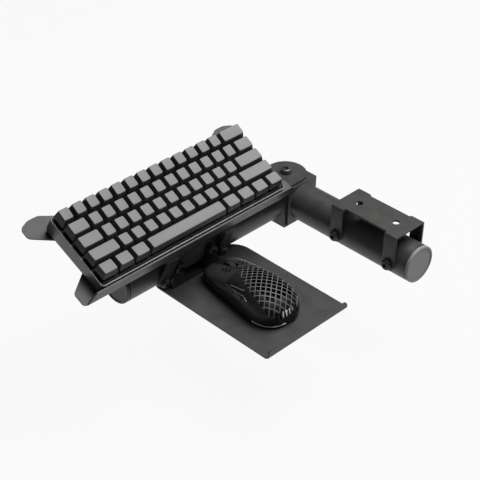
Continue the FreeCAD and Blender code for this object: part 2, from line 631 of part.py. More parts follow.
def keycap(row, w):
    half = w * pitch / 2 - key_gap / 2
    deep = pitch / 2 - key_gap / 2
    h = row_height[row]
    lean = row_lean[row]
    shift = row_shift[row]
    top_x = deep - 2.2
    top_half = half - 2.7
    out = frustum(-deep, deep, half, 1.0, 0, shift, top_x, top_half, 2.0, h, lean)
    if w < 6:
        depth = 0.55
        big_r = (top_half ** 2 + depth ** 2) / (2 * depth)
        dish = Part.makeCylinder(big_r, 40, V(-20, 0, big_r - depth), V(1, 0, 0))
        dish.rotate(V(0, 0, 0), V(0, 1, 0), lean)
        dish.translate(V(shift, 0, h))
        out = out.cut(dish)
    hollow = frustum(-deep + key_wall, deep - key_wall, half - key_wall, 0, 0, shift, top_x - 0.9, top_half - 0.9, 0,
                     h - key_roof - 0.55, lean)
    out = out.cut(hollow)
    ceiling = h - key_roof + 0.3
    post = rod(2.7, ceiling - 1.4, (0, 0, 1.4), (0, 0, 1))
    cross = box(-2.0, 2.0, -0.6, 0.6, 1.3, 4.9).fuse(box(-0.6, 0.6, -2.0, 2.0, 1.3, 4.9))
    posts = [post.cut(cross)]
    if w >= 2:
        for s in (-1, 1):
            y = s * stab_offset(w)
            posts.append(box(-2.0, 2.0, y - 1.5, y + 1.5, -2.6, ceiling))
    for p in posts:
        out = out.fuse(p)
    slider = box(-stem_w / 2, stem_w / 2, -stem_l / 2, stem_l / 2, -4.9, 1.3)
    slider = slider.fuse(box(-2.0, 2.0, -0.6, 0.6, 1.3, 4.8)).fuse(box(-0.6, 0.6, -2.0, 2.0, 1.3, 4.8)).removeSplitter()
    return out.removeSplitter(), slider


names = {(0, 13): "backspace_keycap", (1, 0): "tab_keycap", (1, 13): "backslash_keycap", (2, 0): "caps_lock_keycap",
         (2, 12): "enter_keycap", (3, 0): "left_shift_keycap", (3, 11): "right_shift_keycap", (4, 3): "space_bar"}
group_names = {0: "number_row_keycaps", 1: "upper_letter_keycaps", 2: "home_letter_keycaps", 3: "lower_letter_keycaps",
               4: "modifier_keycaps"}
made = {}
nodes = {}
for r, k, w, x, y in keys:
    if (r, w) not in made:
        made[(r, w)] = keycap(r, w)
    target = names.get((r, k), group_names[r])
    for s in made[(r, w)]:
        c = s.copy()
        c.translate(V(x, y, 0))
        nodes.setdefault(target, []).append(place_key(c))
for name, solids in nodes.items():
    save(name, solids)


# Mouse: a hull drawn through eleven cross-sections, x forward, y to the thumb side, z up from the tray
def mouse_hull(grow, end_trim):
    stations = [(66.5, 14.0, 12.5), (64, 20.0, 15.5), (56, 26.5, 20.0), (41, 29.5, 25.5), (20.5, 30.5, 32.0), (0, 31.0, 37.3),
                (-20.5, 32.5, 39.5), (-39, 32.5, 37.2), (-53.5, 28.5, 31.0), (-61.5, 21.0, 24.2), (-66, 12.0, 16.5)]
    wires = []
    for x, a, top in stations:
        px = x - end_trim * (1 if x > 60 else -1 if x < -58 else 0)
        pts = []
        for i in range(16):
            th = 2 * math.pi * i / 16
            c = math.cos(th)
            s = math.sin(th)
            ex = 2 / 2.5
            yy = (a + grow) * math.copysign(abs(c) ** ex, c)
            rise = (top - 9 + grow) if s > 0 else (13 + grow)
            zz = 9 + rise * math.copysign(abs(s) ** ex, s)
            lean = 2.0 * max(0.0, (zz - 9) / 30)
            pts.append(V(px, yy + lean, zz))
        curve = Part.BSplineCurve()
        curve.interpolate(Points=pts, Parameters=[float(i) for i in range(17)], PeriodicFlag=True)
        wires.append(Part.Wire([curve.toShape()]))
    return Part.makeLoft(wires, True, False)


def place_mouse(shape):
    s = shape.copy()
    s.rotate(V(0, 0, 0), V(0, 0, 1), mouse_turn)
    s.translate(V(mouse_x, mouse_y, mouse_tray_top))
    return s


# Upright diamond prisms on a 45 degree grid about (cx, cy), inside an outline that narrows toward the front
def diamonds(cell, bar, cx, cy, reach, half_right, half_left, narrow):
    step = cell / math.sqrt(2)
    half = (cell - bar) / math.sqrt(2)
    count = int(max(reach, half_right, half_left) / step) + 1
    out = []
    for i in range(-count, count + 1):
        for j in range(-count, count + 1):
            dx = i * step
            dy = j * step
            pinch = narrow * max(0.0, dx / reach)
            if (i + j) % 2 or abs(dx) > reach or dy < pinch - half_right or dy > half_left - pinch:
                continue
            x = cx + dx
            y = cy + dy
            corners = [V(x + half, y, 15), V(x, y + half, 15), V(x - half, y, 15), V(x, y - half, 15)]
            out.append(Part.Face(Part.makePolygon(corners + corners[:1])).extrude(V(0, 0, 40)))
    return out


bed = box(-100, 100, -60, 60, -50, skate_t)
hull = mouse_hull(0.0, 0.0).cut(bed)
proud = mouse_hull(0.7, 0.0).cut(bed)
inside = mouse_hull(-shell_t, shell_t).cut(box(-100, 100, -60, 60, -50, skate_t + shell_t))
skin = hull.cut(inside)
seam = 8.0
base = skin.common(box(-100, 100, -60, 60, -1, seam))
upper = skin.common(box(-100, 100, -60, 60, seam, 60))
spine = 6.0
cut_gap = 0.4
button_back = 14.0
button_low = 13.5
drop_gap = 1.2
for side in (-1, 1):
    y_near = spine * side
    y_far = 60 * side
    y0, y1 = min(y_near, y_far), max(y_near, y_far)
    hole = box(button_back, 100, y0, y1, button_low, 60)
    upper = upper.cut(hole)
    near = (spine + cut_gap) * side
    y0, y1 = min(near, y_far), max(near, y_far)
    key = skin.common(box(button_back + cut_gap, 100, y0, y1, button_low + drop_gap, 60))
    key = key.cut(diamonds(mesh_cell, mesh_bar, 31.0, 13.0 * side, 6.5, 4.0, 4.0, 0.0))
    save("mouse_left_button" if side > 0 else "mouse_right_button", [place_mouse(key)])
wheel_x = 38.0
wheel_r = 11.5
wheel_z = 17.2
wheel_gap = 0.6
upper = upper.cut(box(wheel_x - wheel_r - wheel_gap, wheel_x + wheel_r + wheel_gap, -4.2, 4.2, 15, 60))
for name, x0, x1 in (("mouse_forward_button", -2.0, 13.2), ("mouse_back_button", -18.2, -3.0)):
    upper = upper.cut(box(x0, x1, 10, 60, 20.0, 25.5))
    key = proud.cut(inside).common(box(x0 + 0.3, x1 - 0.3, 14, 60, 20.3, 25.2))
    save(name, [place_mouse(key)])
upper = upper.cut(box(16.0, 23.0, -2.8, 2.8, 25, 60))
mode_key = proud.cut(inside).common(box(16.3, 22.7, -2.5, 2.5, 25, 60))
save("mouse_mode_button", [place_mouse(mode_key)])
# Palm lattice: diamond openings across the top, and upright slots round the back
openings = diamonds(lattice_cell, lattice_bar, -21.0, -2.0, 32.0, 24.0, 20.0, 15.0)
for i in range(7):
    y = 1.0 + (i - 3) * slot_pitch
    openings.append(box(-80, -56, y - slot_half, y + slot_half, slot_low, slot_high))
upper = upper.cut(openings)
save("mouse_shell", [place_mouse(upper.removeSplitter())])
floor_z = skate_t + shell_t
for side in (-1, 1):
    y0 = 5.0 if side > 0 else -7.5
    post = box(wheel_x - 3, wheel_x + 3, y0, y0 + 2.5, floor_z - 0.5, wheel_z + 2.6)
    base = base.fuse(post.cut(rod(1.2, 3, (wheel_x, y0 - 0.2, wheel_z), (0, 1, 0))))
for x in (-34, 20):
    for y in (-14, 14):
        base = base.fuse(rod(2.5, 3.0, (x, y, floor_z - 0.5), (0, 0, 1)))
save("mouse_base", [place_mouse(base.removeSplitter())])
wheel = rod(wheel_r, 6.4, (wheel_x, -3.2, wheel_z), (0, 1, 0)).cut(rod(1.25, 8, (wheel_x, -4, wheel_z), (0, 1, 0)))
for i in range(24):
    a = 2 * math.pi * i / 24
    tooth = rod(0.55, 8, (wheel_x + (wheel_r + 0.1) * math.cos(a), -4, wheel_z + (wheel_r + 0.1) * math.sin(a)), (0, 1, 0))
    wheel = wheel.cut(tooth)
save("mouse_wheel", [place_mouse(wheel)])
save("mouse_wheel_axle", [place_mouse(rod(1.2, 15.0, (wheel_x, -7.5, wheel_z), (0, 1, 0)))])
save("mouse_circuit_board", [place_mouse(box(-40, 25, -20, 20, floor_z + 2.5, floor_z + 4.1))])
skates = [place_mouse(prism(rect(x - 4, x + 4, -13, 13, 3.5), 0, skate_t)) for x in (47, -50)]
save("mouse_skates", skates)
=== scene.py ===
import bmesh
import bpy
import math
from mathutils import Matrix, Vector


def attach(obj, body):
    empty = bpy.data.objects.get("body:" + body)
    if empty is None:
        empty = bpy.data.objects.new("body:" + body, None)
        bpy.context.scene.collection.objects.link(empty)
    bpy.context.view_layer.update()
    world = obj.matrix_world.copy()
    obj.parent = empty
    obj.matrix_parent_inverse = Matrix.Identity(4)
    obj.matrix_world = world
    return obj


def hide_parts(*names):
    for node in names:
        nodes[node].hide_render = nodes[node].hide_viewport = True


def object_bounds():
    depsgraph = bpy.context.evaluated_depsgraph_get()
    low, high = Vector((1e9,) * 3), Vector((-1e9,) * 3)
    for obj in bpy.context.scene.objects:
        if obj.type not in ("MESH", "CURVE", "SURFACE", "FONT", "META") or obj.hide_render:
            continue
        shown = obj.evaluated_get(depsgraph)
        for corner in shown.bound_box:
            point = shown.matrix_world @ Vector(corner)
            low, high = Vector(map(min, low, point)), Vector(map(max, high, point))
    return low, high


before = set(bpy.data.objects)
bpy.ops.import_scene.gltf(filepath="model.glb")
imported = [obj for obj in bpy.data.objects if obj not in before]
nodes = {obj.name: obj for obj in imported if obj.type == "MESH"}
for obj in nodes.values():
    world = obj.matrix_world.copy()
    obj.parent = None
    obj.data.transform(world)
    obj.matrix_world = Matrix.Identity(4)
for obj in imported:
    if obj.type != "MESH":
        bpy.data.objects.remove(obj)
cad_low, cad_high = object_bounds()

# Tubes, forks and trays
# Round steel tube is welded to folded sheet forks, and the two trays are bent sheet with a front lip. All of it is
# powder coated in satin charcoal with a fine orange peel. A finish is a fine grain for bump, a slow mottle in the
# colour and a patchy roughness, at real sizes in metres.


def finish(name, colour, rough, metal=0.0, grain=0.0009, depth=0.00003, mottle=0.12):
    mottle_scale, noise_low, noise_high = 55.0, 0.3, 0.7
    bump_strength, rough_patch = 0.6, 0.05
    mat = bpy.data.materials.new(name)
    mat.use_nodes = True
    tree = mat.node_tree
    tree.nodes.clear()
    out = tree.nodes.new("ShaderNodeOutputMaterial")
    bsdf = tree.nodes.new("ShaderNodeBsdfPrincipled")
    coord = tree.nodes.new("ShaderNodeTexCoord")
    fine = tree.nodes.new("ShaderNodeTexNoise")
    slow = tree.nodes.new("ShaderNodeTexNoise")
    bump = tree.nodes.new("ShaderNodeBump")
    tone = tree.nodes.new("ShaderNodeMapRange")
    rough_map = tree.nodes.new("ShaderNodeMapRange")
    mix = tree.nodes.new("ShaderNodeMix")
    mix.data_type = "RGBA"
    fine.inputs["Scale"].default_value = 1.0 / grain
    fine.inputs["Detail"].default_value = 3.0
    slow.inputs["Scale"].default_value = mottle_scale
    slow.inputs["Detail"].default_value = 4.0
    bump.inputs["Strength"].default_value = bump_strength
    bump.inputs["Distance"].default_value = depth
    for spread, least, most in ((tone, 0.0, 1.0), (rough_map, rough - rough_patch, rough + rough_patch)):
        spread.inputs["From Min"].default_value = noise_low
        spread.inputs["From Max"].default_value = noise_high
        spread.inputs["To Min"].default_value = least
        spread.inputs["To Max"].default_value = most
    dark = [c * (1.0 - mottle) for c in colour]
    light = [min(1.0, c * (1.0 + mottle)) for c in colour]
    mix.inputs["A"].default_value = (*dark, 1.0)
    mix.inputs["B"].default_value = (*light, 1.0)
    bsdf.inputs["Metallic"].default_value = metal
    link = tree.links.new
    link(coord.outputs["Object"], fine.inputs["Vector"])
    link(coord.outputs["Object"], slow.inputs["Vector"])
    link(fine.outputs["Fac"], bump.inputs["Height"])
    link(slow.outputs["Fac"], tone.inputs["Value"])
    link(slow.outputs["Fac"], rough_map.inputs["Value"])
    link(tone.outputs["Result"], mix.inputs["Factor"])
    link(mix.outputs["Result"], bsdf.inputs["Base Color"])
    link(rough_map.outputs["Result"], bsdf.inputs["Roughness"])
    link(bump.outputs["Normal"], bsdf.inputs["Normal"])
    link(bsdf.outputs["BSDF"], out.inputs["Surface"])
    return mat


def dress(names, mat):
    for name in names:
        mesh = nodes[name].data
        mesh.materials.clear()
        mesh.materials.append(mat)


coat = finish("charcoal powder coat", (0.066, 0.066, 0.064), 0.44, grain=0.0008, depth=0.00004)
dress(["rig_bracket", "main_arm_tube", "fixed_fork", "moving_fork", "tray_arm_tube", "keyboard_tray", "mouse_tray",
       "main_arm_weld", "tray_arm_weld"], coat)

# Tray clamp brackets
# Two folded steel U brackets clamp round the tray arm. One carries the keyboard tray on top, and the other hangs the
# mouse tray below. Their coat is painted darker than the other steel's, as painted shade under the trays.
bracket_shade_coat = finish("bracket coat darkened as painted shade", (0.014, 0.014, 0.0135), 0.5, grain=0.0008, depth=0.00004)
dress(["keyboard_bracket", "mouse_bracket"], bracket_shade_coat)

# Bolts and screws
# Button heads hold the clamps, countersunk screws the keyboard tray, and short round heads the mouse tray and the
# keyboard's plate. All are blackened steel, and those at the trays are duller and painted darker as painted shade.
black_steel = finish("black oxide steel", (0.04, 0.04, 0.038), 0.42, metal=0.4, grain=0.0004, depth=0.00001)
dress(["rig_bracket_bolts", "keyboard_screws"], black_steel)
# The bolts and screws at the trays are painted darker still, as painted shade under the trays.
tray_bolt_shade_steel = finish("bolt steel darkened as painted shade", (0.014, 0.014, 0.013), 0.5, metal=0.2, grain=0.0004, depth=0.00001)
dress(["keyboard_bracket_bolts", "mouse_bracket_bolts", "keyboard_tray_screws", "mouse_tray_screws"], tray_bolt_shade_steel)

# Hinge pivot and nuts
# One zinc plated bolt runs down through both forks and a spacer tube, with nylon friction washers between the forks.
# The nuts under the keyboard tray are plated too.
zinc = finish("zinc plated steel", (0.16, 0.16, 0.15), 0.36, metal=0.8, grain=0.0005, depth=0.00001)
dress(["pivot_bolt", "pivot_washers", "pivot_nut", "pivot_spacer", "keyboard_tray_nuts"], zinc)
nylon = finish("natural nylon", (0.62, 0.61, 0.56), 0.5, grain=0.0006)
dress(["friction_washers"], nylon)

# Tube caps
# Moulded plastic plugs are pressed into the free ends of the tubes.
# The main arm's is a grey made paler as painted light on its end, and the tray arm's is nearly black.
lit_cap_grey = finish("grey cap plastic with painted light", (0.36, 0.36, 0.345), 0.5, grain=0.0005, depth=0.00003, mottle=0.06)
dress(["main_arm_cap"], lit_cap_grey)
cap_black = finish("black cap plastic", (0.02, 0.02, 0.02), 0.45, grain=0.0006, depth=0.00003)
dress(["tray_arm_cap"], cap_black)

# Keyboard case
# A painted light-alloy tub with a level underside and an inclined top. Its thin rim has a bright, bare cut edge, made
# brighter still as a painted highlight, and the groove round the plate inside it is painted black as painted shade.
# The plate is screwed to five posts. Sizes are millimetres in the keys' own frame, with x to the front, y to the right
# and z up from the caps' skirts.
case_mat = finish("keyboard case paint", (0.11, 0.11, 0.105), 0.34, metal=0.2, grain=0.0005, depth=0.00001)
# The rim's bare cut edge is made brighter still as a painted highlight.
rim_highlight_mat = finish("cut edge with painted highlight", (0.27, 0.27, 0.262), 0.4, metal=0.3, grain=0.0004, depth=0.000005, mottle=0.05)
# The plate's near black also fills the groove round it as painted shade.
plate_black_and_groove_shade_mat = finish("matt plate black and groove shade", (0.008, 0.008, 0.0085), 0.6, grain=0.0005, depth=0.00002)
hinge_zero = Vector((-0.151, 0.0, -0.0412))
tray_tip, case_wedge = math.radians(24.0), math.radians(3.9)
key_frame = (Matrix.Translation(hinge_zero) @ Matrix.Rotation(tray_tip, 4, "Y")
             @ Matrix.Translation((-0.0318, -0.193, 0.0692)) @ Matrix.Rotation(case_wedge, 4, "Y")
             @ Matrix.Scale(0.001, 4))
pitch = 19.05
case_back, case_front, case_side, case_round = -49.1, 52.4, 146.0, 5.0
case_middle = (case_back + case_front) / 2
case_depth = 24.0
foot_inset, foot_height, floor_height = 1.5, 3.0, 2.5
rim_top, rim_shoulder, rim_slope, rim_width = -4.5, -5.1, 0.6, 1.2
groove_bottom, groove_edge = -7.0, 3.4
post_radius, post_foot = 2.4, 1.5
paint, bright, black = 0, 1, 2


def level(height):
    return lambda x: (height - case_depth + x * math.sin(case_wedge)) / math.cos(case_wedge)


def flat(height):
    return lambda x: height


def set_ring(face, inset, height):
    for v in face.verts:
        corner = Vector((case_middle + math.copysign((case_front - case_back) / 2 - case_round, v.co.x - case_middle),
                         math.copysign(case_side - case_round, v.co.y)))
        out = (v.co.xy - corner).normalized() * (case_round - inset)
        v.co.xy = corner + out
        v.co.z = height(v.co.x)


def piece(name, bm, body, mats, replaced=()):
    crease = math.radians(35)
    bmesh.ops.recalc_face_normals(bm, faces=bm.faces)
    mesh = bpy.data.meshes.new(name)
    bm.to_mesh(mesh)
    bm.free()
    obj = bpy.data.objects.new(name, mesh)
    bpy.context.scene.collection.objects.link(obj)
    for mat in mats:
        mesh.materials.append(mat)
    mesh.polygons.foreach_set("use_smooth", [True] * len(mesh.polygons))
    mesh.set_sharp_from_angle(angle=crease)
    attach(obj, body)
    if replaced:
        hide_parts(*replaced)
    return obj


bm = bmesh.new()
bmesh.ops.create_grid(bm, x_segments=1, y_segments=1, size=1.0)
bmesh.ops.scale(bm, vec=((case_front - case_back) / 2, case_side, 1.0), verts=bm.verts)
bmesh.ops.translate(bm, vec=(case_middle, 0.0, 0.0), verts=bm.verts)
bmesh.ops.bevel(bm, geom=bm.verts[:], offset=case_round, segments=8, profile=0.5, affect="VERTICES", material=-1)
underside = bm.faces[:][0]
set_ring(underside, foot_inset, level(0.0))
top = underside
# The rim's chamfer and flat top take the painted highlight, and the groove's walls and floor the painted shade.
for inset, height, mat in ((foot_inset, level(foot_height), paint), (0.0, level(foot_height), paint),
                           (0.0, flat(rim_shoulder), paint), (rim_slope, flat(rim_top), bright),
                           (rim_width, flat(rim_top), bright), (rim_width, flat(groove_bottom), black),
                           (groove_edge, flat(groove_bottom), black), (groove_edge, level(floor_height), paint)):
    made = bmesh.ops.extrude_face_region(bm, geom=[top])["geom"]
    if top is not underside:
        bm.faces.remove(top)
    top = [f for f in made if isinstance(f, bmesh.types.BMFace)][0]
    set_ring(top, inset, height)
    for f in {f for v in top.verts for f in v.link_faces}:
        f.material_index = mat
back_posts = [(case_back + 3.7, -7.5 * pitch + pitch * k) for k in (2, 7, 12)]
front_posts = [(case_front - 5.8, side * 5 * pitch) for side in (-1, 1)]
for x, y in back_posts + front_posts:
    base = level(post_foot)(x)
    bmesh.ops.create_cone(bm, cap_ends=True, segments=20, radius1=post_radius, radius2=post_radius,
                          depth=groove_bottom - base, matrix=Matrix.Translation((x, y, (base + groove_bottom) / 2)))
bmesh.ops.transform(bm, matrix=key_frame, verts=bm.verts)
case = piece("keyboard_case_body", bm, "keyboard", [case_mat, rim_highlight_mat, plate_black_and_groove_shade_mat],
             replaced=["keyboard_case"])

# Opening for the USB socket
# A slot is milled through the back wall of the case, at the left end.
# The plated steel socket sits behind it, under the board.
bm = bmesh.new()
bmesh.ops.create_cube(bm, size=1.0, matrix=key_frame @ Matrix.Translation((case_back + 2.0, -113.0, -13.70))
                      @ Matrix.Diagonal((7.0, 9.4, 3.60, 1.0)))
mesh = bpy.data.meshes.new("usb opening")
bm.to_mesh(mesh)
bm.free()
cutter = bpy.data.objects.new("usb_opening", mesh)
bpy.context.scene.collection.objects.link(cutter)
opening = case.modifiers.new("usb opening", "BOOLEAN")
opening.object = cutter
opening.solver = "EXACT"
whole = case.data
case.data = bpy.data.meshes.new_from_object(case.evaluated_get(bpy.context.evaluated_depsgraph_get()))
case.modifiers.clear()
bpy.data.objects.remove(cutter)
bpy.data.meshes.remove(whole)
dress(["usb_socket"], zinc)

# Keyboard plate, switches, board and feet
# A black steel plate carries the moulded switches and stabilisers over a dark green board.
# Four rubber discs are glued under the case.
dress(["keyboard_plate"], plate_black_and_groove_shade_mat)
dress(["key_switches", "stabilisers"], cap_black)
board_mat = finish("solder mask", (0.01, 0.04, 0.022), 0.3, grain=0.001, depth=0.00001)
dress(["keyboard_circuit_board"], board_mat)
rubber_mat = finish("black rubber", (0.012, 0.012, 0.012), 0.75, grain=0.0006, depth=0.00005)
dress(["keyboard_feet"], rubber_mat)

# Keycaps
# Hollow moulded matt caps, each pushed on its switch by a post. Their tops are painted pale as painted light, and
# their skirts dark as painted shade. Each tapers to a rounded top edge with a shallow trough across it, and the space
# bar is crowned instead.
# Tops painted pale as painted light, skirts painted near black as painted shade.
lit_top_mat = finish("keycap plastic painted lit on top", (0.29, 0.29, 0.292), 0.56, grain=0.00035, depth=0.00002, mottle=0.07)
shaded_skirt_mat = finish("keycap plastic painted shaded on skirts", (0.032, 0.032, 0.033), 0.5, grain=0.00035, depth=0.00002, mottle=0.06)
key_rows = [[1] * 13 + [2], [1.5] + [1] * 12 + [1.5], [1.75] + [1] * 11 + [2.25], [2.25] + [1] * 10 + [2.75],
            [1.25] * 3 + [6.25] + [1.25] * 4]
cap_height = [10.5, 8.6, 7.6, 7.9, 7.9]
cap_lean = [6.0, 4.0, 1.0, -3.0, -4.0]
cap_shift = [-0.9, -0.9, -0.9, -0.7, -0.5]
cap_gap, cap_wall = 0.475, 1.2
front_taper, side_taper = 2.3, 2.8
corner_round, edge_round = 1.7, 0.55
trough, crown, dish_reach = 0.55, 0.5, 1.4
roof_depth, post_start, post_wide = 1.6, 1.4, 2.7
slider_middle, slider_size = -1.8, (5.5, 7.0, 6.2)
stabiliser_foot, stabiliser_size = 2.6, (4.0, 3.0)
short_reach, long_reach = 11.94, 50.0
single_caps = {(0, 13): "backspace_key", (1, 0): "tab_key", (1, 13): "backslash_key", (2, 0): "caps_lock_key",
               (2, 12): "enter_key", (3, 0): "left_shift_key", (3, 11): "right_shift_key", (4, 3): "space_key"}
group_caps = ["number_row_keys", "upper_letter_keys", "home_letter_keys", "lower_letter_keys", "modifier_keys"]
one_cap = bpy.data.meshes.new("one cap")


def highest(bm):
    return max(bm.faces, key=lambda f: f.calc_center_median().z)


def add_cap(group, row, width, x, y):
    cap = bmesh.new()
    bmesh.ops.create_cube(cap, size=2.0)
    half = width * pitch / 2 - cap_gap
    deep = pitch / 2 - cap_gap
    shift = cap_shift[row]
    slope = math.tan(math.radians(cap_lean[row]))
    top_x = deep - front_taper
    top_y = half - side_taper
    for v in cap.verts:
        if v.co.z > 0:
            v.co = Vector((shift + v.co.x * top_x, v.co.y * top_y, cap_height[row] - v.co.x * top_x * slope))
        else:
            v.co = Vector((v.co.x * deep, v.co.y * half, 0.0))
    uprights = [e for e in cap.edges if abs(e.verts[0].co.z - e.verts[1].co.z) > 3]
    bmesh.ops.bevel(cap, geom=uprights, offset=corner_round, segments=4, profile=0.5, affect="EDGES", material=-1)
    bmesh.ops.bevel(cap, geom=highest(cap).edges[:], offset=edge_round, segments=3, profile=0.5, affect="EDGES",
                    material=-1)
    long_bar = width > 6
    for k in range(-3, 4):
        spot = Vector((shift + k * top_x / 4, 0, 0)) if long_bar else Vector((0, k * top_y / 4, 0))
        normal = Vector((1, 0, 0)) if long_bar else Vector((0, 1, 0))
        bmesh.ops.bisect_plane(cap, geom=cap.verts[:] + cap.edges[:] + cap.faces[:], plane_co=spot, plane_no=normal)
    for v in cap.verts:
        below = cap_height[row] - (v.co.x - shift) * slope - v.co.z
        share = max(0.0, 1.0 - below / dish_reach)
        if long_bar:
            v.co.z -= crown * share * ((v.co.x - shift) / top_x) ** 2
        else:
            v.co.z -= trough * share * max(0.0, 1.0 - (v.co.y / top_y) ** 2)
    underside = [f for f in cap.faces if f.calc_center_median().z < 0.1]
    bmesh.ops.delete(cap, geom=underside, context="FACES")
    bmesh.ops.recalc_face_normals(cap, faces=cap.faces)
    bmesh.ops.solidify(cap, geom=cap.faces[:], thickness=cap_wall)
    roof = cap_height[row] - roof_depth
    bmesh.ops.create_cone(cap, cap_ends=True, segments=20, radius1=post_wide, radius2=post_wide,
                          depth=roof - post_start, matrix=Matrix.Translation((0, 0, (roof + post_start) / 2)))
    bmesh.ops.create_cube(cap, size=1.0, matrix=Matrix.Translation((0, 0, slider_middle))
                          @ Matrix.Diagonal((*slider_size, 1.0)))
    if width >= 2:
        for side in (-1, 1):
            reach = side * (long_reach if long_bar else short_reach)
            bmesh.ops.create_cube(cap, size=1.0, matrix=Matrix.Translation((0, reach, (roof - stabiliser_foot) / 2))
                                  @ Matrix.Diagonal((*stabiliser_size, roof + stabiliser_foot, 1.0)))
    cap.normal_update()
    for f in cap.faces:
        # Faces turned up high on the cap take the painted light of the top, and the rest the painted shade of the
        # skirt.
        f.material_index = 0 if f.normal.z > 0.55 and f.calc_center_median().z > 5 else 1
    bmesh.ops.transform(cap, matrix=key_frame @ Matrix.Translation((x, y, 0.0)), verts=cap.verts)
    cap.to_mesh(one_cap)
    cap.free()
    group.from_mesh(one_cap)


cap_groups = {}
for row, widths in enumerate(key_rows):
    y = -7.5 * pitch
    for k, width in enumerate(widths):
        body = single_caps.get((row, k), group_caps[row])
        group = cap_groups.setdefault(body, bmesh.new())
        add_cap(group, row, width, (row - 2) * pitch, y + width * pitch / 2)
        y += width * pitch
for body, group in cap_groups.items():
    node = "space_bar" if body == "space_key" else body.replace("_key", "_keycap")
    piece(body.replace("_key", "_cap"), group, body, [lit_top_mat, shaded_skirt_mat], replaced=[node])
bpy.data.meshes.remove(one_cap)

# Mouse shell
# One thin black moulding, clipped to the base, with matt sides and a paler open lattice over the palm.
# The shell's solid has the middle openings and the rear slots cut through. The material draws the cells round them,
# in the same 6 mm grid, black as painted shade standing for openings and with paler bars between, inside a region
# that narrows towards the buttons and ends 18 mm up.
mouse_turn = math.radians(174.5)
mouse_frame = (Matrix.Translation((-0.0497, -0.165, -0.0678)) @ Matrix.Rotation(mouse_turn, 4, "Z")
               @ Matrix.Scale(0.001, 4))
lattice_cell, bar_start, bar_full = 0.006, 0.40, 0.43
near_width, near_curve, far_width, far_curve, rear_height = 25.0, -0.005, 27.0, -0.0045, 18.0
shell_mat = finish("mouse lattice shell", (0.02, 0.02, 0.02), 0.42, grain=0.0004, depth=0.00001)
tree = shell_mat.node_tree
link = tree.links.new
bsdf = tree.nodes["Principled BSDF"]
plain = bsdf.inputs["Base Color"].links[0].from_socket
coords = tree.nodes["Texture Coordinate"].outputs["Object"]
cells = tree.nodes.new("ShaderNodeMapping")
cells.vector_type = "TEXTURE"
cells.inputs["Location"].default_value = mouse_frame @ Vector((-21.0, -2.0, 38.0))
cells.inputs["Rotation"].default_value = (0.0, 0.0, mouse_turn + math.radians(45.0))
cells.inputs["Scale"].default_value = (lattice_cell, lattice_cell, lattice_cell)
split = tree.nodes.new("ShaderNodeSeparateXYZ")
widest = tree.nodes.new("ShaderNodeMath")
widest.operation = "MAXIMUM"
bar = tree.nodes.new("ShaderNodeMapRange")
bar.inputs["From Min"].default_value = bar_start
bar.inputs["From Max"].default_value = bar_full
bars = tree.nodes.new("ShaderNodeMix")
bars.data_type = "RGBA"
# The cells' near black is painted shade standing for openings.
bars.inputs["A"].default_value = (0.004, 0.004, 0.004, 1.0)
bars.inputs["B"].default_value = (0.16, 0.16, 0.155, 1.0)
millimetres = tree.nodes.new("ShaderNodeMapping")
millimetres.vector_type = "TEXTURE"
millimetres.inputs["Location"].default_value = mouse_frame @ Vector((-45.0, 0.0, 0.0))
millimetres.inputs["Rotation"].default_value = (0.0, 0.0, mouse_turn)
millimetres.inputs["Scale"].default_value = (0.001, 0.001, 0.001)
spot = tree.nodes.new("ShaderNodeSeparateXYZ")
inside = tree.nodes.new("ShaderNodeMapRange")
inside.inputs["From Min"].default_value = -0.2
inside.inputs["From Max"].default_value = 0.2


def reckon(kind, a, b, c=None):
    node = tree.nodes.new("ShaderNodeMath")
    node.operation = kind
    for socket, value in zip(node.inputs, (a, b, c)):
        if isinstance(value, float):
            socket.default_value = value
        elif value is not None:
            link(value, socket)
    return node.outputs["Value"]


shade = tree.nodes.new("ShaderNodeMix")
shade.data_type = "RGBA"
link(coords, cells.inputs["Vector"])
link(cells.outputs["Vector"], split.inputs["Vector"])
for axis, socket in (("X", 0), ("Y", 1)):
    across = tree.nodes.new("ShaderNodeMath")
    across.operation = "PINGPONG"
    across.inputs[1].default_value = 0.5
    link(split.outputs[axis], across.inputs[0])
    link(across.outputs["Value"], widest.inputs[socket])
link(widest.outputs["Value"], bar.inputs["Value"])
link(bar.outputs["Result"], bars.inputs["Factor"])
link(coords, millimetres.inputs["Vector"])
link(millimetres.outputs["Vector"], spot.inputs["Vector"])
square = reckon("MULTIPLY", spot.outputs["X"], spot.outputs["X"])
near_side = reckon("SUBTRACT", reckon("MULTIPLY_ADD", square, near_curve, near_width), spot.outputs["Y"])
far_side = reckon("ADD", reckon("MULTIPLY_ADD", square, far_curve, far_width), spot.outputs["Y"])
rear = reckon("ADD", spot.outputs["Z"], -rear_height)
link(reckon("MINIMUM", reckon("MINIMUM", near_side, far_side), rear), inside.inputs["Value"])
link(inside.outputs["Result"], shade.inputs["Factor"])
link(plain, shade.inputs["A"])
link(bars.outputs["Result"], shade.inputs["B"])
link(shade.outputs["Result"], bsdf.inputs["Base Color"])
dress(["mouse_shell"], shell_mat)

